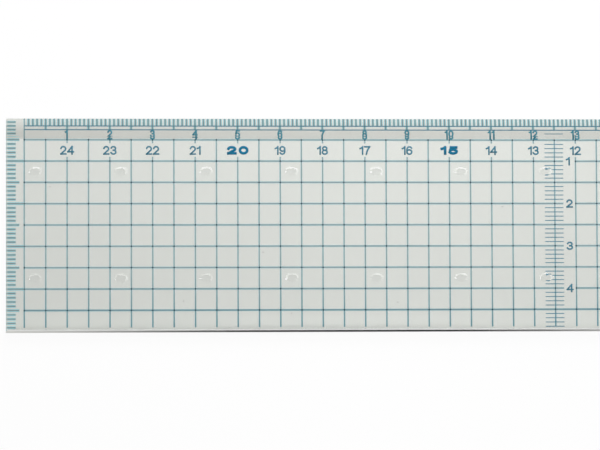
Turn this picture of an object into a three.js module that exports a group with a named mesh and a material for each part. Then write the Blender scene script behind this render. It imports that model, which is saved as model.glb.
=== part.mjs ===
// Clear acrylic cutting ruler for a sewing table: a bevelled plate, a thin steel strip glued along
// its cutting edge and rows of clear domed grip dots on its top face.
// Lengths are millimetres. X runs along the ruler, +Y is the bevelled drawing edge, +Z is up.
// The origin is the middle of the footprint, on the table.
import * as THREE from 'three';

// The plate. Its length is the scale that is printed under it and a clear margin past each end.
const scaleLength = 250;
const endMargin = 4.25;
const rulerWidth = 50.2;
const plateThickness = 3;

// The bevel brings the printed scale close to the cloth along the drawing edge.
const bevelWidth = 4.4;
const drawingEdgeHeight = 0.5;

// Every saw-cut arris of the acrylic is broken by this much.
const arrisBreak = 0.12;

// The steel strip stands on edge against the plate, which has a wider chamfer beside it.
const stripThickness = 0.4;
const stripArris = 0.08;
const bondChamfer = 0.3;

// Grip dots: clear oval drops in two rows, each so far in from the drawing edge. The first of a row
// stands firstDot past the zero line.
const dotLength = 3.3;
const dotWidth = 2.2;
const dotHeight = 0.3;
const dotRim = 0.45;
const firstDot = 2.5;
const dotPitch = 20;
const dotRows = [
  { side: 'drawing', inset: 12.5 },
  { side: 'cutting', inset: 37.5 },
];

const roundSteps = 24;
const rimSteps = 4;

// What follows from those sizes
const overallLength = scaleLength + 2 * endMargin;
const halfLength = overallLength / 2;
const cuttingEdge = -rulerWidth / 2;
const drawingEdge = rulerWidth / 2;
const bondFace = cuttingEdge + stripThickness;
const zeroLine = -scaleLength / 2;

function material(color, roughness, metalness, opacity = 1) {
  return new THREE.MeshStandardMaterial({
    color,
    roughness,
    metalness,
    opacity,
    transparent: opacity < 1,
  });
}

// A solid of one cross-section (Y, Z) over the ruler's whole length, its end arrises broken
function alongRuler(crossSection, arris) {
  const geometry = new THREE.ExtrudeGeometry(new THREE.Shape(crossSection), {
    depth: overallLength - 2 * arris,
    steps: 1,
    bevelEnabled: true,
    bevelSegments: 1,
    bevelThickness: arris,
    bevelSize: arris,
    bevelOffset: -arris,
  });
  geometry.translate(0, 0, arris - halfLength);
  const acrossX = new THREE.Vector3(0, 1, 0);
  const acrossY = new THREE.Vector3(0, 0, 1);
  const along = new THREE.Vector3(1, 0, 0);
  return geometry.applyMatrix4(new THREE.Matrix4().makeBasis(acrossX, acrossY, along));
}

function acrylicPlate() {
  const crossSection = [
    new THREE.Vector2(bondFace + arrisBreak, 0),
    new THREE.Vector2(drawingEdge, 0),
    new THREE.Vector2(drawingEdge, drawingEdgeHeight),
    new THREE.Vector2(drawingEdge - bevelWidth, plateThickness),
    new THREE.Vector2(bondFace + bondChamfer, plateThickness),
    new THREE.Vector2(bondFace, plateThickness - bondChamfer),
    new THREE.Vector2(bondFace, arrisBreak),
  ];
  const geometry = alongRuler(crossSection, arrisBreak);
  const mesh = new THREE.Mesh(geometry, material(0xdfe3df, 0.06, 0, 0.35));
  mesh.name = 'acrylic_plate';
  return mesh;
}

function steelStrip() {
  const crossSection = [
    new THREE.Vector2(bondFace, 0),
    new THREE.Vector2(bondFace, plateThickness),
    new THREE.Vector2(cuttingEdge + stripArris, plateThickness),
    new THREE.Vector2(cuttingEdge, plateThickness - stripArris),
    new THREE.Vector2(cuttingEdge, stripArris),
    new THREE.Vector2(cuttingEdge + stripArris, 0),
  ].reverse();
  const geometry = alongRuler(crossSection, stripArris);
  const mesh = new THREE.Mesh(geometry, material(0xb9bcbc, 0.25, 1));
  mesh.name = 'steel_cutting_strip';
  return mesh;
}

// Half of a drop's outline, from its seat up round the rim to its nearly flat crown, is turned
// about Z and then drawn out along the ruler to an oval.
function dotGeometry() {
  const radius = dotWidth / 2;
  const profile = [new THREE.Vector2(0, 0)];
  for (let step = 0; step <= rimSteps; step += 1) {
    const turn = (step / rimSteps) * (Math.PI / 2);
    const out = radius - dotRim + dotRim * Math.cos(turn);
    profile.push(new THREE.Vector2(out, dotHeight * Math.sin(turn)));
  }
  profile.push(new THREE.Vector2(0, dotHeight));
  const geometry = new THREE.LatheGeometry(profile, roundSteps);
  geometry.rotateX(Math.PI / 2);
  geometry.scale(dotLength / dotWidth, 1, 1);
  return geometry;
}

function gripDots() {
  const dots = new THREE.Group();
  for (const row of dotRows) {
    let place = 1;
    for (let reading = firstDot; reading <= scaleLength; reading += dotPitch) {
      const dot = new THREE.Mesh(dotGeometry(), material(0xe8ebe8, 0.12, 0, 0.35));
      dot.name = `grip_dot_${row.side}_side_${String(place).padStart(2, '0')}`;
      dot.position.set(zeroLine + reading, drawingEdge - row.inset, plateThickness);
      dots.add(dot);
      place += 1;
    }
  }
  return dots;
}

const ruler = new THREE.Group();
ruler.add(acrylicPlate(), steelStrip(), gripDots());

export default ruler;
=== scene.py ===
import math

import bmesh
import bpy
from mathutils import Matrix, Vector


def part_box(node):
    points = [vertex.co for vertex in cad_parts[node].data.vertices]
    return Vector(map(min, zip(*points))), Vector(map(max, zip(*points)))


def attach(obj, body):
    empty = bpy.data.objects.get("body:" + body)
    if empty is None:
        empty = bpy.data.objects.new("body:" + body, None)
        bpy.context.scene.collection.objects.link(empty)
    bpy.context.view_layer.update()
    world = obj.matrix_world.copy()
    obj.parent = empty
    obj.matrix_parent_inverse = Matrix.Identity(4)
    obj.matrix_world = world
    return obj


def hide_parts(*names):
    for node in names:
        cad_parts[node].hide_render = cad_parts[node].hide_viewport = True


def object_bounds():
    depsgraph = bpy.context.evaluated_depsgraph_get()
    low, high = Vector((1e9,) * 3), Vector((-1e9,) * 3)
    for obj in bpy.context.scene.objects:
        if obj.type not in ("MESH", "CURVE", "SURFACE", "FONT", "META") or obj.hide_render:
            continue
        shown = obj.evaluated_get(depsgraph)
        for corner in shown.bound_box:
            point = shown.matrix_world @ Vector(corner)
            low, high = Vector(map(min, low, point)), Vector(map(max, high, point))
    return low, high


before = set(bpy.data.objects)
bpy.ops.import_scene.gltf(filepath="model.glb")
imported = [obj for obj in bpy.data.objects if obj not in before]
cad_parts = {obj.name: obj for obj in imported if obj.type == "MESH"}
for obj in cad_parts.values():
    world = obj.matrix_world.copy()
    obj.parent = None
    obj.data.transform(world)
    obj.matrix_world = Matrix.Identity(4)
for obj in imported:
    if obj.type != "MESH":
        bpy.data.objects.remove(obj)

cad_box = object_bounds()
MM = 0.001

# Camera. It stands 0.8 m over the first half of the ruler with a long lens and looks almost straight
# down, so the scale fills the frame from the zero end to just past its middle.
CAMERA_SENSOR = 36.0
CAMERA_LENS = 204.7
CAMERA_PLACE = (-115.8, -41.2, 800.0)
CAMERA_TURNS = (2.966, -3.954, -0.251)

camera_data = bpy.data.cameras.new("camera_over_first_half")
camera_data.sensor_width = CAMERA_SENSOR
camera_data.lens = CAMERA_LENS
camera = bpy.data.objects.new("camera_over_first_half", camera_data)
camera.location = Vector(CAMERA_PLACE) * MM
camera.rotation_euler = [math.radians(turn) for turn in CAMERA_TURNS]
bpy.context.collection.objects.link(camera)
bpy.context.scene.camera = camera


# Table. A plain white table top that the ruler lies on, 0.05 mm under it to clear the ink. It is
# lifted wherever it is seen, under the ruler with painted light that is brighter to the far right than
# to the near left, and most of all as background, where it keeps a faint shadow.
def new_material(name):
    material = bpy.data.materials.new(name)
    material.use_nodes = True
    material.node_tree.nodes.clear()
    return material, material.node_tree.nodes, material.node_tree.links


def link_all(links, *pairs):
    for start, end in pairs:
        links.new(start, end)


TABLE_DROP = 0.05
TABLE_SIDE = 8.0
TABLE_WHITE = (0.9, 0.9, 0.9, 1.0)
TABLE_LIFT = 0.205
PAINTED_LIGHT_SIDEWAYS = 0.04
PAINTED_LIGHT_SIDEWAYS_END = 1 / 3
PAINTED_LIGHT_IN_DEPTH = 0.06
BACKGROUND_SHARE = 0.92

table_bm = bmesh.new()
bmesh.ops.create_grid(table_bm, x_segments=1, y_segments=1, size=TABLE_SIDE / 2)
bmesh.ops.translate(table_bm, verts=table_bm.verts, vec=(0, 0, cad_box[0].z - TABLE_DROP * MM))
table_mesh = bpy.data.meshes.new("table_top")
table_bm.to_mesh(table_mesh)
table_bm.free()
table = bpy.data.objects.new("table_top", table_mesh)
bpy.context.collection.objects.link(table)

table_paint, nodes, links = new_material("white_table")
diffuse = nodes.new("ShaderNodeBsdfDiffuse")
diffuse.inputs["Color"].default_value = TABLE_WHITE
lift = nodes.new("ShaderNodeEmission")
light_path = nodes.new("ShaderNodeLightPath")
seen = nodes.new("ShaderNodeMath")
seen.operation = "MAXIMUM"
seen_or_through = nodes.new("ShaderNodeMath")
seen_or_through.operation = "MAXIMUM"
lift_level = nodes.new("ShaderNodeMath")
lift_level.operation = "MULTIPLY"
table_place = nodes.new("ShaderNodeTexCoord")
table_axes = nodes.new("ShaderNodeSeparateXYZ")
# Painted light: the table glows more towards the right and towards the far side, so the ruler over it looks
# more lit there.
painted_light_sideways = nodes.new("ShaderNodeMapRange")
painted_light_sideways.inputs["From Min"].default_value = cad_box[0].x
painted_light_sideways.inputs["From Max"].default_value = cad_box[0].x * PAINTED_LIGHT_SIDEWAYS_END
painted_light_sideways.inputs["To Min"].default_value = TABLE_LIFT - PAINTED_LIGHT_SIDEWAYS
painted_light_sideways.inputs["To Max"].default_value = TABLE_LIFT + PAINTED_LIGHT_SIDEWAYS
painted_light_in_depth = nodes.new("ShaderNodeMapRange")
painted_light_in_depth.inputs["From Min"].default_value = cad_box[0].y
painted_light_in_depth.inputs["From Max"].default_value = cad_box[1].y
painted_light_in_depth.inputs["To Min"].default_value = -PAINTED_LIGHT_IN_DEPTH
painted_light_in_depth.inputs["To Max"].default_value = PAINTED_LIGHT_IN_DEPTH
lift_and_painted_light = nodes.new("ShaderNodeMath")
both = nodes.new("ShaderNodeAddShader")
plain_white = nodes.new("ShaderNodeEmission")
background_share = nodes.new("ShaderNodeMath")
background_share.operation = "MULTIPLY"
background_share.inputs[1].default_value = BACKGROUND_SHARE
as_background = nodes.new("ShaderNodeMixShader")
output = nodes.new("ShaderNodeOutputMaterial")
link_all(
    links,
    (light_path.outputs["Is Camera Ray"], seen.inputs[0]),
    (light_path.outputs["Is Glossy Ray"], seen.inputs[1]),
    (seen.outputs[0], seen_or_through.inputs[0]),
    (light_path.outputs["Is Transmission Ray"], seen_or_through.inputs[1]),
    (table_place.outputs["Object"], table_axes.inputs[0]),
    (table_axes.outputs["X"], painted_light_sideways.inputs["Value"]),
    (table_axes.outputs["Y"], painted_light_in_depth.inputs["Value"]),
    (painted_light_sideways.outputs["Result"], lift_and_painted_light.inputs[0]),
    (painted_light_in_depth.outputs["Result"], lift_and_painted_light.inputs[1]),
    (seen_or_through.outputs[0], lift_level.inputs[0]),
    (lift_and_painted_light.outputs[0], lift_level.inputs[1]),
    (lift_level.outputs[0], lift.inputs["Strength"]),
    (diffuse.outputs[0], both.inputs[0]),
    (lift.outputs[0], both.inputs[1]),
    (light_path.outputs["Is Camera Ray"], background_share.inputs[0]),
    (background_share.outputs[0], as_background.inputs["Fac"]),
    (both.outputs[0], as_background.inputs[1]),
    (plain_white.outputs[0], as_background.inputs[2]),
    (as_background.outputs[0], output.inputs["Surface"]),
)
table_mesh.materials.append(table_paint)


# Light. A white room, bright at the horizon and dim overhead, with a curved soft box round its far
# and right sides. A low near soft box stands beyond the drawing edge and a far one on the left.
ROOM_LOW = 0.05
ROOM_HIGH = 0.75
ROOM_BRIGHT = 0.3
ROOM_DIM = 0.06
CURVED_BOX_LEVEL = 3.5
CURVED_BOX_AXIS = (0.082, 0.05, 0.995)
CURVED_BOX_HEIGHT = 0.76
CURVED_BOX_HALF = 0.05
CURVED_BOX_EDGE = 0.03
CURVED_BOX_TURN = 50
CURVED_BOX_ENDS = (-0.2, -0.1)

world = bpy.data.worlds.new("white_room")
world.use_nodes = True
bpy.context.scene.world = world
nodes, links = world.node_tree.nodes, world.node_tree.links
background = nodes["Background"]
background.inputs["Color"].default_value = (1.0, 1.0, 1.0, 1.0)
direction = nodes.new("ShaderNodeTexCoord")
height = nodes.new("ShaderNodeSeparateXYZ")
room_level = nodes.new("ShaderNodeMapRange")
room_level.inputs["From Min"].default_value = ROOM_LOW
room_level.inputs["From Max"].default_value = ROOM_HIGH
room_level.inputs["To Min"].default_value = ROOM_BRIGHT
room_level.inputs["To Max"].default_value = ROOM_DIM
along_axis = nodes.new("ShaderNodeVectorMath")
along_axis.operation = "DOT_PRODUCT"
along_axis.inputs[1].default_value = CURVED_BOX_AXIS
off_box = nodes.new("ShaderNodeMath")
off_box.operation = "SUBTRACT"
off_box.inputs[1].default_value = CURVED_BOX_HEIGHT
how_far = nodes.new("ShaderNodeMath")
how_far.operation = "ABSOLUTE"
box_high = nodes.new("ShaderNodeMapRange")
box_high.inputs["From Min"].default_value = CURVED_BOX_HALF + CURVED_BOX_EDGE
box_high.inputs["From Max"].default_value = CURVED_BOX_HALF
box_high.inputs["To Max"].default_value = CURVED_BOX_LEVEL
towards_box = nodes.new("ShaderNodeVectorMath")
towards_box.operation = "DOT_PRODUCT"
box_turn = math.radians(CURVED_BOX_TURN)
towards_box.inputs[1].default_value = (math.cos(box_turn), math.sin(box_turn), 0.0)
box_round = nodes.new("ShaderNodeMapRange")
box_round.inputs["From Min"].default_value, box_round.inputs["From Max"].default_value = CURVED_BOX_ENDS
curved_box = nodes.new("ShaderNodeMath")
curved_box.operation = "MULTIPLY"
room_and_box = nodes.new("ShaderNodeMath")
link_all(
    links,
    (direction.outputs["Generated"], height.inputs[0]),
    (height.outputs["Z"], room_level.inputs["Value"]),
    (direction.outputs["Generated"], along_axis.inputs[0]),
    (along_axis.outputs["Value"], off_box.inputs[0]),
    (off_box.outputs[0], how_far.inputs[0]),
    (how_far.outputs[0], box_high.inputs["Value"]),
    (direction.outputs["Generated"], towards_box.inputs[0]),
    (towards_box.outputs["Value"], box_round.inputs["Value"]),
    (box_high.outputs["Result"], curved_box.inputs[0]),
    (box_round.outputs["Result"], curved_box.inputs[1]),
    (curved_box.outputs[0], room_and_box.inputs[0]),
    (room_level.outputs["Result"], room_and_box.inputs[1]),
    (room_and_box.outputs[0], background.inputs["Strength"]),
)


def soft_box(name, place, aim, width, depth, watts):
    lamp = bpy.data.lights.new(name, "AREA")
    lamp.shape = "RECTANGLE"
    lamp.size = width
    lamp.size_y = depth
    lamp.energy = watts
    holder = bpy.data.objects.new(name, lamp)
    holder.location = place
    holder.rotation_euler = (Vector(aim) - Vector(place)).to_track_quat("-Z", "Y").to_euler()
    bpy.context.collection.objects.link(holder)


LAMP_AIM = (-0.05, 0.0, 0.0)
soft_box("key_soft_box", (-0.03, 0.13, 0.12), LAMP_AIM, width=0.24, depth=0.045, watts=0.09)
soft_box("left_soft_box", (-0.88, -0.34, 1.2), LAMP_AIM, width=0.42, depth=0.34, watts=4.8)


# Acrylic plate. Clear cast sheet with one long edge planed to a bevel. Its faces are polished, with
# faint wiping marks and a few specks of dust, and its sawn ends are left satin.
WIPING_ANGLE = 17
WIPING_STRETCH = (14.0, 2600.0, 60.0)
WIPING_DETAIL = 3.0
WIPING_SPARSE = (0.62, 0.78)
SPECK_RARITY = 0.94


def new_group(name, inputs, outputs):
    group = bpy.data.node_groups.new(name, "ShaderNodeTree")
    for socket, value in inputs.items():
        opened = group.interface.new_socket(socket, in_out="INPUT", socket_type="NodeSocketFloat")
        opened.default_value = value
    for socket in outputs:
        group.interface.new_socket(socket, in_out="OUTPUT", socket_type="NodeSocketFloat")
    return group, group.nodes.new("NodeGroupInput"), group.nodes.new("NodeGroupOutput")


def handling_marks():
    """Fine wiping scratches as a height, and scattered dust specks as a mask."""
    group, given, result = new_group(
        "handling_marks", {"Specks per metre": 160.0, "Speck size": 0.022}, ("Scratches", "Dust")
    )
    nodes, links = group.nodes, group.links
    place = nodes.new("ShaderNodeTexCoord")
    turned = nodes.new("ShaderNodeMapping")
    turned.inputs["Rotation"].default_value = (0.0, 0.0, math.radians(WIPING_ANGLE))
    turned.inputs["Scale"].default_value = WIPING_STRETCH
    scratches = nodes.new("ShaderNodeTexNoise")
    scratches.inputs["Scale"].default_value = 1.0
    scratches.inputs["Detail"].default_value = WIPING_DETAIL
    sparse = nodes.new("ShaderNodeMapRange")
    sparse.inputs["From Min"].default_value, sparse.inputs["From Max"].default_value = WIPING_SPARSE
    cells = nodes.new("ShaderNodeTexVoronoi")
    cells.voronoi_dimensions = "2D"
    near = nodes.new("ShaderNodeMath")
    near.operation = "LESS_THAN"
    tint = nodes.new("ShaderNodeSeparateColor")
    chosen = nodes.new("ShaderNodeMath")
    chosen.operation = "GREATER_THAN"
    chosen.inputs[1].default_value = SPECK_RARITY
    speck = nodes.new("ShaderNodeMath")
    speck.operation = "MULTIPLY"
    link_all(
        links,
        (place.outputs["Object"], turned.inputs["Vector"]),
        (turned.outputs["Vector"], scratches.inputs["Vector"]),
        (scratches.outputs["Fac"], sparse.inputs["Value"]),
        (sparse.outputs["Result"], result.inputs["Scratches"]),
        (place.outputs["Object"], cells.inputs["Vector"]),
        (given.outputs["Specks per metre"], cells.inputs["Scale"]),
        (cells.outputs["Distance"], near.inputs[0]),
        (given.outputs["Speck size"], near.inputs[1]),
        (cells.outputs["Color"], tint.inputs["Color"]),
        (tint.outputs["Red"], chosen.inputs[0]),
        (near.outputs[0], speck.inputs[0]),
        (chosen.outputs[0], speck.inputs[1]),
        (speck.outputs[0], result.inputs["Dust"]),
    )
    return group


HANDLING_MARKS = handling_marks()
plate_low, plate_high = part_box("acrylic_plate")
ACRYLIC_IOR = 1.49
CLOUDS_PER_METRE = 35.0
CLOUD_DETAIL = 4.0
SAWN_FACING = (0.9, 0.95)
SCRATCH_STRENGTH = 0.3
# These place a painted shade: the plate is tinted darker over its bevel, for the light that the bevel bends
# away from the table under it.
BEVEL_SHADE_THIN = 0.8
BEVEL_SHADE_THICK = 2.4
BEVEL_SHADE_REACH = 4.85
BEVEL_SHADE_FADE = 0.1


def clear_plastic(name, pale, deep, bevel_shade, dust, polish, satin, scratch_depth, shade, ior=ACRYLIC_IOR):
    """Clear plastic, cloudily tinted, and tinted darker over its bevel with painted shade for the light
    that the bevel bends away from the table. Light for what it covers passes straight through it."""
    material, nodes, links = new_material(name)
    place = nodes.new("ShaderNodeTexCoord")
    cloud = nodes.new("ShaderNodeTexNoise")
    cloud.inputs["Scale"].default_value = CLOUDS_PER_METRE
    cloud.inputs["Detail"].default_value = CLOUD_DETAIL
    cloudy = nodes.new("ShaderNodeMix")
    cloudy.data_type = "RGBA"
    cloudy.inputs["A"].default_value = pale
    cloudy.inputs["B"].default_value = deep
    over_bevel = nodes.new("ShaderNodeMapRange")
    over_bevel.inputs["From Min"].default_value = plate_high.y - (BEVEL_SHADE_REACH + BEVEL_SHADE_FADE) * MM
    over_bevel.inputs["From Max"].default_value = plate_high.y - BEVEL_SHADE_REACH * MM
    heights = nodes.new("ShaderNodeSeparateXYZ")
    thick = nodes.new("ShaderNodeMapRange")
    thick.inputs["From Min"].default_value = BEVEL_SHADE_THIN * MM
    thick.inputs["From Max"].default_value = BEVEL_SHADE_THICK * MM
    bevel_shade_share = nodes.new("ShaderNodeMath")
    bevel_shade_share.operation = "MULTIPLY"
    bevel_shading = nodes.new("ShaderNodeMix")
    bevel_shading.data_type = "RGBA"
    bevel_shading.inputs["B"].default_value = bevel_shade
    marks = nodes.new("ShaderNodeGroup")
    marks.node_tree = HANDLING_MARKS
    dusty = nodes.new("ShaderNodeMix")
    dusty.data_type = "RGBA"
    dusty.inputs["B"].default_value = dust
    facing = nodes.new("ShaderNodeNewGeometry")
    axes = nodes.new("ShaderNodeSeparateXYZ")
    sideways = nodes.new("ShaderNodeMath")
    sideways.operation = "ABSOLUTE"
    sawn = nodes.new("ShaderNodeMapRange")
    sawn.inputs["From Min"].default_value, sawn.inputs["From Max"].default_value = SAWN_FACING
    sawn.inputs["To Min"].default_value = polish
    sawn.inputs["To Max"].default_value = satin
    bump = nodes.new("ShaderNodeBump")
    bump.inputs["Strength"].default_value = SCRATCH_STRENGTH
    bump.inputs["Distance"].default_value = scratch_depth * MM
    clear = nodes.new("ShaderNodeBsdfPrincipled")
    clear.inputs["IOR"].default_value = ior
    clear.inputs["Transmission Weight"].default_value = 1.0
    passed = nodes.new("ShaderNodeBsdfTransparent")
    passed.inputs["Color"].default_value = shade
    light_path = nodes.new("ShaderNodeLightPath")
    lamps_through = nodes.new("ShaderNodeMixShader")
    room_light_through = nodes.new("ShaderNodeMixShader")
    output = nodes.new("ShaderNodeOutputMaterial")
    link_all(
        links,
        (place.outputs["Object"], cloud.inputs["Vector"]),
        (cloud.outputs["Fac"], cloudy.inputs["Factor"]),
        (place.outputs["Object"], heights.inputs[0]),
        (heights.outputs["Y"], over_bevel.inputs["Value"]),
        (heights.outputs["Z"], thick.inputs["Value"]),
        (over_bevel.outputs["Result"], bevel_shade_share.inputs[0]),
        (thick.outputs["Result"], bevel_shade_share.inputs[1]),
        (bevel_shade_share.outputs[0], bevel_shading.inputs["Factor"]),
        (cloudy.outputs["Result"], bevel_shading.inputs["A"]),
        (bevel_shading.outputs["Result"], dusty.inputs["A"]),
        (marks.outputs["Dust"], dusty.inputs["Factor"]),
        (dusty.outputs["Result"], clear.inputs["Base Color"]),
        (facing.outputs["Normal"], axes.inputs[0]),
        (axes.outputs["X"], sideways.inputs[0]),
        (sideways.outputs[0], sawn.inputs["Value"]),
        (sawn.outputs["Result"], clear.inputs["Roughness"]),
        (marks.outputs["Scratches"], bump.inputs["Height"]),
        (bump.outputs["Normal"], clear.inputs["Normal"]),
        (light_path.outputs["Is Shadow Ray"], lamps_through.inputs["Fac"]),
        (clear.outputs[0], lamps_through.inputs[1]),
        (passed.outputs[0], lamps_through.inputs[2]),
        (light_path.outputs["Is Diffuse Ray"], room_light_through.inputs["Fac"]),
        (lamps_through.outputs[0], room_light_through.inputs[1]),
        (passed.outputs[0], room_light_through.inputs[2]),
        (room_light_through.outputs[0], output.inputs["Surface"]),
    )
    return material


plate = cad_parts["acrylic_plate"]
plate.data.materials.clear()
plate.data.materials.append(
    clear_plastic(
        "clear_cast_acrylic",
        pale=(0.865, 0.88, 0.85, 1.0),
        deep=(0.845, 0.86, 0.83, 1.0),
        bevel_shade=(0.56, 0.555, 0.52, 1.0),
        dust=(0.62, 0.62, 0.6, 1.0),
        polish=0.0,
        satin=0.18,
        scratch_depth=0.002,
        shade=(0.93, 0.935, 0.925, 1.0),
    )
)


# Printed scale. Teal blue ink, screen printed back to front on the plate's underside, so it reads
# right through the acrylic. Its film bites into the plate, and layers that cross lie a hair apart.
# Readings run along the ruler, and insets run in from the drawing edge.
SCALE_LENGTH = 250
END_MARGIN = 4.25
INK_THICKNESS = 0.022
INK_SUNK = 0.016
EDGE_CLEARANCE = 0.1
INK_GRAINS_PER_METRE = 900.0
INK_GRAIN_DETAIL = 3.0
INK_STARVES = (0.35, 0.75)
INK_ROUGHNESS = 0.55
INK_GLOSS = 0.15
MARK_COLORS = (0.15, 0.37, 0.51, 1.0), (0.075, 0.29, 0.42, 1.0)
LINE_SIDE = (0.51, 0.82, 0.88, 1.0)

zero_line_x = plate_low.x + END_MARGIN * MM
drawing_edge_y = plate_high.y
ink_middle_z = plate_low.z + (INK_SUNK - INK_THICKNESS / 2) * MM


def on_scale(reading, inset):
    return Vector((zero_line_x + reading * MM, drawing_edge_y - inset * MM, ink_middle_z))


def print_bar(ink, reading_a, reading_b, inset_a, inset_b):
    """A flat inked bar between two readings and two insets."""
    start, end = on_scale(reading_a, inset_a), on_scale(reading_b, inset_b)
    size = Matrix.Diagonal((end.x - start.x, start.y - end.y, INK_THICKNESS * MM, 1.0))
    bmesh.ops.create_cube(ink, size=1.0, matrix=Matrix.Translation((start + end) / 2) @ size)


def line_across(ink, reading, inset_a, inset_b, width):
    print_bar(ink, reading - width / 2, reading + width / 2, inset_a, inset_b)


def line_along(ink, inset, reading_a, reading_b, width):
    print_bar(ink, reading_a, reading_b, inset - width / 2, inset + width / 2)


def teal_ink(name, starved_color, full_color):
    """Screen ink, a little starved where the screen printed thin. Returns its shader node too."""
    material, nodes, links = new_material(name)
    place = nodes.new("ShaderNodeTexCoord")
    starved = nodes.new("ShaderNodeTexNoise")
    starved.inputs["Scale"].default_value = INK_GRAINS_PER_METRE
    starved.inputs["Detail"].default_value = INK_GRAIN_DETAIL
    density = nodes.new("ShaderNodeValToRGB")
    for stop, at, color in zip(density.color_ramp.elements, INK_STARVES, (full_color, starved_color)):
        stop.position, stop.color = at, color
    ink = nodes.new("ShaderNodeBsdfPrincipled")
    ink.inputs["Roughness"].default_value = INK_ROUGHNESS
    ink.inputs["Specular IOR Level"].default_value = INK_GLOSS
    output = nodes.new("ShaderNodeOutputMaterial")
    link_all(
        links,
        (place.outputs["Object"], starved.inputs["Vector"]),
        (starved.outputs["Fac"], density.inputs["Fac"]),
        (density.outputs["Color"], ink.inputs["Base Color"]),
        (ink.outputs[0], output.inputs["Surface"]),
    )
    return material, ink


MARK_INK = teal_ink("teal_screen_ink", *MARK_COLORS)[0]


def line_ink(name, starved_color, full_color, lines, side_color=LINE_SIDE):
    """Ink that is full along the middle of each line and thin and pale at its sides. The lines are
    given as their axis, spacing and width. Returns its shader node, colour and fullnesses too."""
    material, ink = teal_ink(name, starved_color, full_color)
    nodes, links = material.node_tree.nodes, material.node_tree.links
    full_ink = ink.inputs["Base Color"].links[0].from_socket
    place = nodes.new("ShaderNodeTexCoord")
    from_corner = nodes.new("ShaderNodeMapping")
    from_corner.inputs["Location"].default_value = (-zero_line_x, -drawing_edge_y, 0.0)
    axes = nodes.new("ShaderNodeSeparateXYZ")
    fuller = nodes.new("ShaderNodeMath")
    fuller.operation = "MAXIMUM"
    fuller.inputs[1].default_value = 0.0
    thinned = nodes.new("ShaderNodeMix")
    thinned.data_type = "RGBA"
    thinned.inputs["A"].default_value = side_color
    fullness = []
    for side, (axis, step, width) in enumerate(lines):
        off_middle = nodes.new("ShaderNodeMath")
        off_middle.operation = "PINGPONG"
        off_middle.inputs[1].default_value = step / 2 * MM
        full = nodes.new("ShaderNodeMapRange")
        full.inputs["From Min"].default_value = width / 2 * MM
        full.inputs["From Max"].default_value = 0.0
        full.interpolation_type = "SMOOTHSTEP"
        fullness.append(full.outputs["Result"])
        link_all(
            links,
            (axes.outputs[axis], off_middle.inputs[0]),
            (off_middle.outputs[0], full.inputs["Value"]),
            (full.outputs["Result"], fuller.inputs[side]),
        )
    link_all(
        links,
        (place.outputs["Object"], from_corner.inputs["Vector"]),
        (from_corner.outputs["Vector"], axes.inputs[0]),
        (fuller.outputs[0], thinned.inputs["Factor"]),
        (full_ink, thinned.inputs["B"]),
        (thinned.outputs["Result"], ink.inputs["Base Color"]),
    )
    return material, ink, thinned.outputs["Result"], fullness


def finish_print(ink, name, material):
    mesh = bpy.data.meshes.new(name)
    ink.to_mesh(mesh)
    ink.free()
    mesh.materials.append(material)
    piece = bpy.data.objects.new(name, mesh)
    bpy.context.collection.objects.link(piece)
    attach(piece, "root")


# Millimetre scale along the drawing edge. Its ticks stand on two fine lines, at 2 and 3 mm in, and
# reach out under the bevel to the very edge, where the plate is thin.
RULE_LINE = 0.26
TICK_LINE = 0.6
TICK_FOOT = 2
FIVE_TICK_FOOT = 3
RULE_RAISED = 0.002
TICK_COLORS = (0.36, 0.4, 0.41, 1.0), (0.27, 0.32, 0.335, 1.0)
TICK_SIDE = (0.42, 0.86, 0.97, 1.0)

ink = bmesh.new()
for reading in range(1, SCALE_LENGTH):
    foot = TICK_FOOT if reading % 5 else FIVE_TICK_FOOT
    line_across(ink, reading, EDGE_CLEARANCE, foot, TICK_LINE)
finish_print(
    ink, "printed_edge_ticks", line_ink("teal_tick_ink", *TICK_COLORS, (("X", 1, TICK_LINE),), TICK_SIDE)[0]
)
ink = bmesh.new()
for inset in (TICK_FOOT, FIVE_TICK_FOOT):
    line_along(ink, inset, 0, SCALE_LENGTH, RULE_LINE)
bmesh.ops.translate(ink, verts=ink.verts, vec=(0, 0, RULE_RAISED * MM))
finish_print(ink, "printed_edge_rules", MARK_INK)


# Printed grid of 5 mm squares. Centimetre lines across the ruler break off round their numerals, and
# those along it beside the numerals of the centre scale. The ink pools where two lines cross, and
# lies heavier towards the foot of the print.
GRID_STEP = 5
LINE_ACROSS = 0.36
LINE_ALONG = 0.45
GRID_LOWERED = 0.004
ACROSS_LOWERED = 0.002
GRID_TOP = 5
PRINT_FOOT = 49.0
LAST_LINE_ALONG = 45
ABOVE_NUMERAL = 5.8
BELOW_NUMERAL = 9.0
CENTRE_READING = SCALE_LENGTH / 2
CENTRE_TICK_LEFT = 2.35
CENTRE_TICK_RIGHT = 2.05
AFTER_CENTRE_NUMERAL = CENTRE_READING + GRID_STEP
GRID_COLORS = (0.41, 0.46, 0.51, 1.0), (0.33, 0.39, 0.44, 1.0)
HEAVIER_BELOW = 37
HEAVIEST = 0.55
HEAVY_COLOR = (0.04, 0.28, 0.38, 1.0)
POOL_FULL = 0.14
POOL_COLOR = (0.001, 0.055, 0.095, 1.0)

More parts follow.
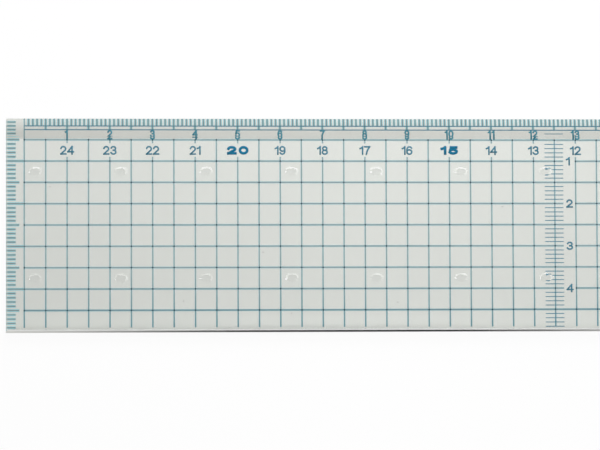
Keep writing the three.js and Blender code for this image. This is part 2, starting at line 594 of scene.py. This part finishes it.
GRID_INK, ink_shader, ink_color, fullness = line_ink(
    "teal_grid_ink", *GRID_COLORS, (("X", GRID_STEP, LINE_ACROSS), ("Y", GRID_STEP, LINE_ALONG))
)
nodes, links = GRID_INK.node_tree.nodes, GRID_INK.node_tree.links
crossing = nodes.new("ShaderNodeMath")
crossing.operation = "MULTIPLY"
pooled = nodes.new("ShaderNodeMapRange")
pooled.inputs["From Max"].default_value = POOL_FULL
place = nodes.new("ShaderNodeTexCoord")
sides = nodes.new("ShaderNodeSeparateXYZ")
towards_foot = nodes.new("ShaderNodeMapRange")
towards_foot.inputs["From Min"].default_value = drawing_edge_y - HEAVIER_BELOW * MM
towards_foot.inputs["From Max"].default_value = drawing_edge_y - PRINT_FOOT * MM
towards_foot.inputs["To Max"].default_value = HEAVIEST
heavier = nodes.new("ShaderNodeMix")
heavier.data_type = "RGBA"
heavier.inputs["B"].default_value = HEAVY_COLOR
pool = nodes.new("ShaderNodeMix")
pool.data_type = "RGBA"
pool.inputs["B"].default_value = POOL_COLOR
link_all(
    links,
    (fullness[0], crossing.inputs[0]),
    (fullness[1], crossing.inputs[1]),
    (crossing.outputs[0], pooled.inputs["Value"]),
    (place.outputs["Object"], sides.inputs[0]),
    (sides.outputs["Y"], towards_foot.inputs["Value"]),
    (towards_foot.outputs["Result"], heavier.inputs["Factor"]),
    (ink_color, heavier.inputs["A"]),
    (pooled.outputs["Result"], pool.inputs["Factor"]),
    (heavier.outputs["Result"], pool.inputs["A"]),
    (pool.outputs["Result"], ink_shader.inputs["Base Color"]),
)

ink = bmesh.new()
for reading in (0, SCALE_LENGTH):
    line_across(ink, reading, EDGE_CLEARANCE, PRINT_FOOT, LINE_ACROSS)
for reading in range(GRID_STEP, SCALE_LENGTH, GRID_STEP):
    if reading % 10:
        line_across(ink, reading, GRID_TOP, PRINT_FOOT, LINE_ACROSS)
    else:
        line_across(ink, reading, GRID_TOP, ABOVE_NUMERAL, LINE_ACROSS)
        line_across(ink, reading, BELOW_NUMERAL, PRINT_FOOT, LINE_ACROSS)
bmesh.ops.translate(ink, verts=ink.verts, vec=(0, 0, -ACROSS_LOWERED * MM))
for inset in range(GRID_TOP, LAST_LINE_ALONG + 1, GRID_STEP):
    if inset % 10:
        line_along(ink, inset, 0, SCALE_LENGTH, LINE_ALONG)
    else:
        line_along(ink, inset, 0, CENTRE_READING + CENTRE_TICK_RIGHT, LINE_ALONG)
        line_along(ink, inset, AFTER_CENTRE_NUMERAL, SCALE_LENGTH, LINE_ALONG)
bmesh.ops.translate(ink, verts=ink.verts, vec=(0, 0, -GRID_LOWERED * MM))
finish_print(ink, "printed_grid", GRID_INK)


# End scales in the clear margins outside the zero line and the last line. They count millimetres
# in from the drawing edge, with a longer tick at each 5 and a line right across at each 10.
END_TICK = 2.25
END_FIVE_TICK = 3.1
END_CLEARANCE = 0.28
END_TICK_INK = line_ink("teal_end_tick_ink", *TICK_COLORS, (("Y", 1, TICK_LINE),), TICK_SIDE)[0]


def end_scale(name, outer, inner):
    towards_grid = 1 if inner > outer else -1
    ink = bmesh.new()
    start = outer + towards_grid * END_CLEARANCE
    for inset in range(1, int(PRINT_FOOT) + 1):
        if inset % 10 == 0:
            end = inner
        elif inset % 5 == 0:
            end = outer + towards_grid * END_FIVE_TICK
        else:
            end = outer + towards_grid * END_TICK
        line_along(ink, inset, min(start, end), max(start, end), TICK_LINE)
    finish_print(ink, name, END_TICK_INK)


end_scale("printed_end_scale_zero_end", -END_MARGIN, 0)
end_scale("printed_end_scale_far_end", SCALE_LENGTH + END_MARGIN, SCALE_LENGTH)


# Centre scale. A millimetre ladder on the half way line, for measuring in from the drawing edge in
# the middle of the ruler. The grid's own lines take the place of its rungs at each 5.
FIRST_RUNG = 4
RUNG_LINE = 0.18

ink = bmesh.new()
for inset in range(FIRST_RUNG, int(PRINT_FOOT) + 1):
    if inset % 5:
        line_along(
            ink, inset, CENTRE_READING - CENTRE_TICK_LEFT, CENTRE_READING + CENTRE_TICK_RIGHT, RUNG_LINE
        )
finish_print(ink, "printed_centre_scale", MARK_INK)


# Numerals. Plain upright figures drawn with strokes of even width. Each figure's strokes run on
# centre lines in a box one unit wide and one high, and sharp corners start a new stroke.
def arc(centre, reach, start, end, steps=12):
    """Points on an oval arc. Angles are degrees, anticlockwise from the right."""
    angles = [math.radians(start + (end - start) * step / steps) for step in range(steps + 1)]
    return [
        (centre[0] + reach[0] * math.cos(angle), centre[1] + reach[1] * math.sin(angle))
        for angle in angles
    ]


BOWL_STEPS = 20
OVAL_STEPS = 24
SIX_BOWL = arc((0.5, 0.3), (0.47, 0.3), 0, 360, BOWL_STEPS)
SIX_TAIL = arc((0.52, 0.6), (0.49, 0.4), 35, 180) + [(0.03, 0.3)]
FIGURES = {
    "0": [arc((0.5, 0.5), (0.5, 0.5), 0, 360, OVAL_STEPS)],
    "1": [[(1.0, 0.0), (1.0, 1.0)], [(0.95, 0.97), (0.6, 0.84), (0.03, 0.76)]],
    "2": [arc((0.5, 0.7), (0.46, 0.3), 170, -35) + [(0.03, 0.0)], [(0.03, 0.0), (1.0, 0.0)]],
    "3": [
        arc((0.5, 0.75), (0.42, 0.25), 165, -90),
        arc((0.5, 0.26), (0.48, 0.26), 90, -165),
    ],
    "4": [[(0.76, 0.0), (0.76, 1.0)], [(0.76, 1.0), (0.0, 0.3)], [(0.0, 0.3), (1.0, 0.3)]],
    "5": [
        [(0.92, 1.0), (0.2, 1.0)],
        [(0.2, 1.0), (0.1, 0.5)],
        arc((0.48, 0.32), (0.5, 0.32), 140, -160),
    ],
    "6": [SIX_BOWL, SIX_TAIL],
    "7": [[(0.0, 1.0), (1.0, 1.0)], [(1.0, 1.0), (0.55, 0.5), (0.35, 0.0)]],
    "8": [
        arc((0.5, 0.76), (0.4, 0.24), 0, 360, BOWL_STEPS),
        arc((0.5, 0.26), (0.48, 0.26), 0, 360, BOWL_STEPS),
    ],
    "9": [[(1 - x, 1 - y) for x, y in stroke] for stroke in (SIX_BOWL, SIX_TAIL)],
}
WIDTH_SHARES = {"1": 0.62, "4": 1.06}
STROKE_STEP = 0.001
SAME_POINT = 1e-6
MERGE_REACH = 1e-7


def stroke_section(width):
    """The ink's cross-section: as wide as the stroke and as thick as the film."""
    section = bpy.data.curves.new("stroke_section", "CURVE")
    section.dimensions = "2D"
    spline = section.splines.new("POLY")
    spline.points.add(3)
    half_width, half_film = width * MM / 2, INK_THICKNESS * MM / 2
    corners = ((-1, -1), (1, -1), (1, 1), (-1, 1))
    for point, (across, up) in zip(spline.points, corners):
        point.co = (across * half_width, up * half_film, 0.0, 1.0)
    spline.use_cyclic_u = True
    holder = bpy.data.objects.new("stroke_section", section)
    bpy.context.collection.objects.link(holder)
    return holder


def squared_off(points, reach):
    """A stroke's centre line, drawn on past both of its ends."""
    for end, before in ((0, 1), (-1, -2)):
        last, previous = Vector(points[end]), Vector(points[before])
        points[end] = last + (last - previous).normalized() * reach
    return points


def stroke_mesh(centre_line, width, height, stroke, section):
    """One stroke of a figure whose lower left corner is at the origin."""
    closed = math.dist(centre_line[0], centre_line[-1]) < SAME_POINT
    points = [(x * (width - stroke), y * (height - stroke)) for x, y in centre_line]
    points = points[:-1] if closed else squared_off(points, stroke / 2)
    pen = bpy.data.curves.new("stroke", "CURVE")
    pen.dimensions = "2D"
    pen.fill_mode = "NONE"
    pen.bevel_mode = "OBJECT"
    pen.bevel_object = section
    pen.use_fill_caps = True
    spline = pen.splines.new("POLY")
    spline.points.add(len(points) - 1)
    for point, (across, up) in zip(spline.points, points):
        point.co = ((stroke / 2 + across) * MM, (stroke / 2 + up) * MM, 0.0, 1.0)
    spline.use_cyclic_u = closed
    holder = bpy.data.objects.new("stroke", pen)
    bpy.context.collection.objects.link(holder)
    bpy.context.view_layer.update()
    mesh = bpy.data.meshes.new_from_object(holder.evaluated_get(bpy.context.evaluated_depsgraph_get()))
    bpy.data.objects.remove(holder)
    bpy.data.curves.remove(pen)
    return mesh


def print_numerals(name, numbers, width, height, stroke, gap, inset_top, material=MARK_INK):
    """Numbers centred on their readings, a lone 1 on its stem, with their tops at one inset or more.
    Each stroke of a figure lies a hair under the one before, so that no two faces share a plane."""
    section = stroke_section(stroke)
    drawn = {}
    ink = bmesh.new()
    for number, reading, inset in numbers:
        widths = [width * WIDTH_SHARES.get(figure, 1.0) for figure in str(number)]
        left = reading - (sum(widths) + gap * (len(widths) - 1)) / 2
        if str(number) == "1":
            left -= (widths[0] - stroke) / 2
        for figure, figure_width in zip(str(number), widths):
            if figure not in drawn:
                drawn[figure] = [
                    stroke_mesh(line, figure_width, height, stroke, section) for line in FIGURES[figure]
                ]
            corner = on_scale(left, inset_top + inset + height)
            for order, mesh in enumerate(drawn[figure]):
                before = len(ink.verts)
                ink.from_mesh(mesh)
                ink.verts.ensure_lookup_table()
                under = Vector((0, 0, order * STROKE_STEP * MM))
                bmesh.ops.translate(ink, verts=ink.verts[before:], vec=corner - under)
            left += figure_width + gap
    bpy.data.objects.remove(section)
    bmesh.ops.remove_doubles(ink, verts=ink.verts, dist=MERGE_REACH)
    bmesh.ops.recalc_face_normals(ink, faces=ink.faces)
    finish_print(ink, name, material)


CENTIMETRES = range(1, SCALE_LENGTH // 10)
EDGE_NUMERAL_TOP = 3.05
EDGE_NUMERAL_COLORS = (0.14, 0.46, 0.6, 1.0), (0.08, 0.38, 0.52, 1.0)
LARGE_NUMERAL_TOP = 6.42
BOLD_COLORS = (0.035, 0.3, 0.51, 1.0), (0.01, 0.23, 0.44, 1.0)

print_numerals(
    "edge_numerals",
    [(count, count * 10, 0) for count in CENTIMETRES],
    width=1.25,
    height=1.9,
    stroke=0.38,
    gap=0.12,
    inset_top=EDGE_NUMERAL_TOP,
    material=teal_ink("teal_numeral_ink", *EDGE_NUMERAL_COLORS)[0],
)
print_numerals(
    "large_numerals",
    [(count, SCALE_LENGTH - count * 10, 0) for count in CENTIMETRES if count % 5],
    width=1.55,
    height=2.1,
    stroke=0.36,
    gap=0.12,
    inset_top=LARGE_NUMERAL_TOP,
)
print_numerals(
    "bold_numerals",
    [(count, SCALE_LENGTH - count * 10, 0) for count in CENTIMETRES if count % 5 == 0],
    width=2.33,
    height=2.05,
    stroke=0.63,
    gap=0.45,
    inset_top=LARGE_NUMERAL_TOP,
    material=teal_ink("heavy_teal_ink", *BOLD_COLORS)[0],
)
CENTRE_NUMERAL_OFFSET = 3.5
CENTRE_NUMERAL_HEIGHT = 1.98
print_numerals(
    "centre_numerals",
    [(count, CENTRE_READING + CENTRE_NUMERAL_OFFSET, count * 10) for count in range(1, 5)],
    width=1.6,
    height=CENTRE_NUMERAL_HEIGHT,
    stroke=0.36,
    gap=0.0,
    inset_top=-CENTRE_NUMERAL_HEIGHT / 2,
)


# Steel strip. Thin stainless strip on edge, glued along the cutting edge so that a blade can't cut
# into the acrylic. Its faces are ground along their length, and its glued face lies a hair inside
# the plate's side.
GLUE_SINK = 0.02
STRIP_ARRIS = 0.03
ARRIS_STEPS = 3
# The strip is painted darker round one reading, a painted dark reflection, and turns paler and rougher
# further away.
DARK_REFLECTION_READING = 77
DARK_REFLECTION_REACH = 12
REFLECTION_FADES_BEYOND = 80
DULL_ROUGHNESS = 0.45
PAINTED_PALE_COLOR = (0.84, 0.84, 0.81, 1.0)
STEEL_COLORS = (0.5, 0.51, 0.51, 1.0), (0.72, 0.73, 0.73, 1.0)
STEEL_SHINE = (0.08, 0.2)
GRIND_STRETCH = (60.0, 9000.0, 9000.0)
GRIND_DETAIL = 4.0
GRIND_STRENGTH = 0.3
GRIND_DEPTH = 0.01

strip_low, strip_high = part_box("steel_cutting_strip")
strip_bm = bmesh.new()
strip_size = Vector(strip_high) - Vector(strip_low) + Vector((0, GLUE_SINK * MM, 0))
strip_middle = (Vector(strip_low) + Vector(strip_high)) / 2 + Vector((0, GLUE_SINK * MM / 2, 0))
bmesh.ops.create_cube(
    strip_bm, size=1.0, matrix=Matrix.Translation(strip_middle) @ Matrix.Diagonal((*strip_size, 1.0))
)
bmesh.ops.bevel(
    strip_bm,
    geom=strip_bm.edges,
    offset=STRIP_ARRIS * MM,
    offset_type="OFFSET",
    segments=ARRIS_STEPS,
    profile=0.5,
    affect="EDGES",
    material=-1,
)
strip_mesh = bpy.data.meshes.new("ground_steel_strip")
strip_bm.to_mesh(strip_mesh)
strip_bm.free()
strip = bpy.data.objects.new("ground_steel_strip", strip_mesh)
bpy.context.collection.objects.link(strip)
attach(strip, "root")
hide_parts("steel_cutting_strip")


def ground_steel():
    """Stainless steel with a fine grind along its length. Around one reading it is darker and smoother,
    a painted dark reflection along the strip, and paler and rougher away from there."""
    material, nodes, links = new_material("ground_stainless_steel")
    place = nodes.new("ShaderNodeTexCoord")
    along = nodes.new("ShaderNodeMapping")
    along.inputs["Scale"].default_value = GRIND_STRETCH
    grind = nodes.new("ShaderNodeTexNoise")
    grind.inputs["Scale"].default_value = 1.0
    grind.inputs["Detail"].default_value = GRIND_DETAIL
    shine = nodes.new("ShaderNodeMapRange")
    shine.inputs["To Min"].default_value, shine.inputs["To Max"].default_value = STEEL_SHINE
    from_dark_reflection = nodes.new("ShaderNodeMapping")
    from_dark_reflection.inputs["Location"].default_value = (-zero_line_x - DARK_REFLECTION_READING * MM, 0.0, 0.0)
    axes = nodes.new("ShaderNodeSeparateXYZ")
    away = nodes.new("ShaderNodeMath")
    away.operation = "ABSOLUTE"
    away_from_dark_reflection = nodes.new("ShaderNodeMapRange")
    away_from_dark_reflection.inputs["From Min"].default_value = DARK_REFLECTION_REACH * MM
    away_from_dark_reflection.inputs["From Max"].default_value = REFLECTION_FADES_BEYOND * MM
    rough = nodes.new("ShaderNodeMath")
    rough.operation = "MULTIPLY_ADD"
    rough.inputs[1].default_value = DULL_ROUGHNESS
    tone = nodes.new("ShaderNodeValToRGB")
    for stop, color in zip(tone.color_ramp.elements, STEEL_COLORS):
        stop.color = color
    painted_reflection_tone = nodes.new("ShaderNodeMix")
    painted_reflection_tone.data_type = "RGBA"
    painted_reflection_tone.inputs["B"].default_value = PAINTED_PALE_COLOR
    bump = nodes.new("ShaderNodeBump")
    bump.inputs["Strength"].default_value = GRIND_STRENGTH
    bump.inputs["Distance"].default_value = GRIND_DEPTH * MM
    steel = nodes.new("ShaderNodeBsdfPrincipled")
    steel.inputs["Metallic"].default_value = 1.0
    output = nodes.new("ShaderNodeOutputMaterial")
    link_all(
        links,
        (place.outputs["Object"], along.inputs["Vector"]),
        (along.outputs["Vector"], grind.inputs["Vector"]),
        (grind.outputs["Fac"], shine.inputs["Value"]),
        (place.outputs["Object"], from_dark_reflection.inputs["Vector"]),
        (from_dark_reflection.outputs["Vector"], axes.inputs[0]),
        (axes.outputs["X"], away.inputs[0]),
        (away.outputs[0], away_from_dark_reflection.inputs["Value"]),
        (away_from_dark_reflection.outputs["Result"], rough.inputs[0]),
        (shine.outputs["Result"], rough.inputs[2]),
        (rough.outputs[0], steel.inputs["Roughness"]),
        (grind.outputs["Fac"], tone.inputs["Fac"]),
        (tone.outputs["Color"], painted_reflection_tone.inputs["A"]),
        (away_from_dark_reflection.outputs["Result"], painted_reflection_tone.inputs["Factor"]),
        (painted_reflection_tone.outputs["Result"], steel.inputs["Base Color"]),
        (grind.outputs["Fac"], bump.inputs["Height"]),
        (bump.outputs["Normal"], steel.inputs["Normal"]),
        (steel.outputs[0], output.inputs["Surface"]),
    )
    return material


strip_mesh.materials.append(ground_steel())


# Glue bead. Cloudy white acrylic cement that fills the groove between the plate's chamfer and the
# strip. It was run in from the top, and dried a little below the faces on either side.
BOND_CHAMFER = 0.3
STRIP_THICKNESS = 0.4
BEAD_BELOW_FACE = 0.03
BEAD_SINK = 0.012
BEAD_END_GAP = 0.15
CEMENT_STRETCH = (120.0, 900.0, 900.0)
CEMENT_DETAIL = 3.0
CEMENT_CLOUDS = (0.3, 0.7)
CEMENT_COLORS = (0.86, 0.87, 0.85, 1.0), (0.96, 0.97, 0.96, 1.0)
CEMENT_ROUGHNESS = 0.3

bead_side_y = strip_low[1] + (STRIP_THICKNESS - BEAD_SINK) * MM
bead_top_z = plate_high.z - BEAD_BELOW_FACE * MM
bead_reach = (BOND_CHAMFER - BEAD_BELOW_FACE + 2 * BEAD_SINK) * MM
bead_start_x = plate_low.x + BEAD_END_GAP * MM
bead_length = plate_high.x - plate_low.x - 2 * BEAD_END_GAP * MM

bead_bm = bmesh.new()
corners = [
    bead_bm.verts.new((bead_start_x, bead_side_y + across, bead_top_z - down))
    for across, down in ((0.0, 0.0), (0.0, bead_reach), (bead_reach, 0.0))
]
end_face = bead_bm.faces.new(corners)
drawn = bmesh.ops.extrude_face_region(bead_bm, geom=[end_face])
far_end = [part for part in drawn["geom"] if isinstance(part, bmesh.types.BMVert)]
bmesh.ops.translate(bead_bm, verts=far_end, vec=(bead_length, 0, 0))
bmesh.ops.recalc_face_normals(bead_bm, faces=bead_bm.faces)
bead_mesh = bpy.data.meshes.new("glue_bead")
bead_bm.to_mesh(bead_mesh)
bead_bm.free()
bead = bpy.data.objects.new("glue_bead", bead_mesh)
bpy.context.collection.objects.link(bead)
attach(bead, "root")


def cloudy_cement():
    material, nodes, links = new_material("cloudy_acrylic_cement")
    place = nodes.new("ShaderNodeTexCoord")
    along = nodes.new("ShaderNodeMapping")
    along.inputs["Scale"].default_value = CEMENT_STRETCH
    clouds = nodes.new("ShaderNodeTexNoise")
    clouds.inputs["Scale"].default_value = 1.0
    clouds.inputs["Detail"].default_value = CEMENT_DETAIL
    tone = nodes.new("ShaderNodeValToRGB")
    for stop, at, color in zip(tone.color_ramp.elements, CEMENT_CLOUDS, CEMENT_COLORS):
        stop.position, stop.color = at, color
    cement = nodes.new("ShaderNodeBsdfPrincipled")
    cement.inputs["Roughness"].default_value = CEMENT_ROUGHNESS
    output = nodes.new("ShaderNodeOutputMaterial")
    link_all(
        links,
        (place.outputs["Object"], along.inputs["Vector"]),
        (along.outputs["Vector"], clouds.inputs["Vector"]),
        (clouds.outputs["Fac"], tone.inputs["Fac"]),
        (tone.outputs["Color"], cement.inputs["Base Color"]),
        (cement.outputs[0], output.inputs["Surface"]),
    )
    return material


bead_mesh.materials.append(cloudy_cement())


# Grip dots. Oval drops of clear resin, cured on the top face in two rows. Each has a steep side, an
# even sloping shoulder and a nearly flat crown. Its base wets the acrylic and bends no light there.
DROP_SINK = 0.02
ROUND_STEPS = 40
SIDE_INSET = 0.08
SIDE_TOP = 0.12
SIDE_TURN = 76
SIDE_STEPS = 4
SHOULDER_INSET = 0.48
SHOULDER_TOP = 0.27
SHOULDER_STEPS = 5
CROWN_INSETS = (0.7, 0.95)
BASE_FACING = -0.5
RESIN_IOR = 1.53
WETTED_IOR = 1.0


def drop_outline(height):
    """How far in from the base's edge each ring of the drop lies, and how high."""
    rings = []
    for step in range(SIDE_STEPS + 1):
        turn = math.radians(SIDE_TURN * step / SIDE_STEPS)
        rings.append((SIDE_INSET * (1 - math.cos(turn)), SIDE_TOP * math.sin(turn)))
    side_inset, side_top = rings[-1]
    for step in range(1, SHOULDER_STEPS + 1):
        share = step / SHOULDER_STEPS
        inset = side_inset + share * (SHOULDER_INSET - side_inset)
        rings.append((inset, side_top + share * (SHOULDER_TOP - side_top)))
    for place, inset in enumerate(CROWN_INSETS, 1):
        share = place / len(CROWN_INSETS)
        rings.append((inset, SHOULDER_TOP + (height - SHOULDER_TOP) * (1 - (1 - share) ** 2)))
    return rings


def drop_mesh(name, low, high):
    middle = (Vector(low) + Vector(high)) / 2
    half_length, half_width = (high.x - low.x) / 2 / MM, (high.y - low.y) / 2 / MM
    drop = bmesh.new()
    bmesh.ops.create_circle(drop, cap_ends=True, segments=ROUND_STEPS, radius=1.0)
    bmesh.ops.scale(drop, verts=drop.verts, vec=(half_length, half_width, 1.0))
    top, last_inset, last_up = next(iter(drop.faces)), 0.0, -DROP_SINK
    bmesh.ops.translate(drop, verts=drop.verts, vec=(0, 0, last_up))
    for inset, up in drop_outline((high.z - low.z) / MM):
        drawn = bmesh.ops.extrude_face_region(drop, geom=[top, *top.edges, *top.verts])["geom"]
        ring = [part for part in drawn if isinstance(part, bmesh.types.BMVert)]
        top = next(part for part in drawn if isinstance(part, bmesh.types.BMFace))
        narrower = (half_width - inset) / (half_width - last_inset)
        shorter = (half_length - inset) / (half_length - last_inset)
        bmesh.ops.scale(drop, verts=ring, vec=(shorter, narrower, 1.0))
        bmesh.ops.translate(drop, verts=ring, vec=(0, 0, up - last_up))
        last_inset, last_up = inset, up
    bmesh.ops.recalc_face_normals(drop, faces=drop.faces)
    bmesh.ops.scale(drop, verts=drop.verts, vec=(MM, MM, MM))
    bmesh.ops.translate(drop, verts=drop.verts, vec=(middle.x, middle.y, low.z))
    for face in drop.faces:
        face.smooth = face.normal.z > BASE_FACING
        face.material_index = 0 if face.smooth else 1
    for edge in drop.edges:
        edge.smooth = all(face.smooth for face in edge.link_faces)
    mesh = bpy.data.meshes.new(name)
    drop.to_mesh(mesh)
    drop.free()
    return mesh


clear_resin = clear_plastic(
    "clear_domed_resin",
    pale=(1.0, 1.0, 1.0, 1.0),
    deep=(0.995, 0.998, 0.99, 1.0),
    bevel_shade=(1.0, 1.0, 1.0, 1.0),
    dust=(0.8, 0.8, 0.78, 1.0),
    polish=0.0,
    satin=0.0,
    scratch_depth=0.001,
    shade=(1.0, 1.0, 1.0, 1.0),
    ior=RESIN_IOR,
)
wetted_base = clear_plastic(
    "wetted_resin_base",
    pale=(1.0, 1.0, 1.0, 1.0),
    deep=(0.998, 0.998, 0.998, 1.0),
    bevel_shade=(1.0, 1.0, 1.0, 1.0),
    dust=(0.97, 0.97, 0.97, 1.0),
    polish=0.0,
    satin=0.0,
    scratch_depth=0.0005,
    shade=(1.0, 1.0, 1.0, 1.0),
    ior=WETTED_IOR,
)
for node_name in sorted(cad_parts):
    if not node_name.startswith("grip_dot"):
        continue
    drop_name = node_name.replace("grip_dot", "resin_grip_drop")
    mesh = drop_mesh(drop_name, *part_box(node_name))
    mesh.materials.append(clear_resin)
    mesh.materials.append(wetted_base)
    drop = bpy.data.objects.new(drop_name, mesh)
    bpy.context.collection.objects.link(drop)
    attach(drop, "root")
    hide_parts(node_name)


# Render view.
bpy.context.scene.view_settings.view_transform = "Standard"
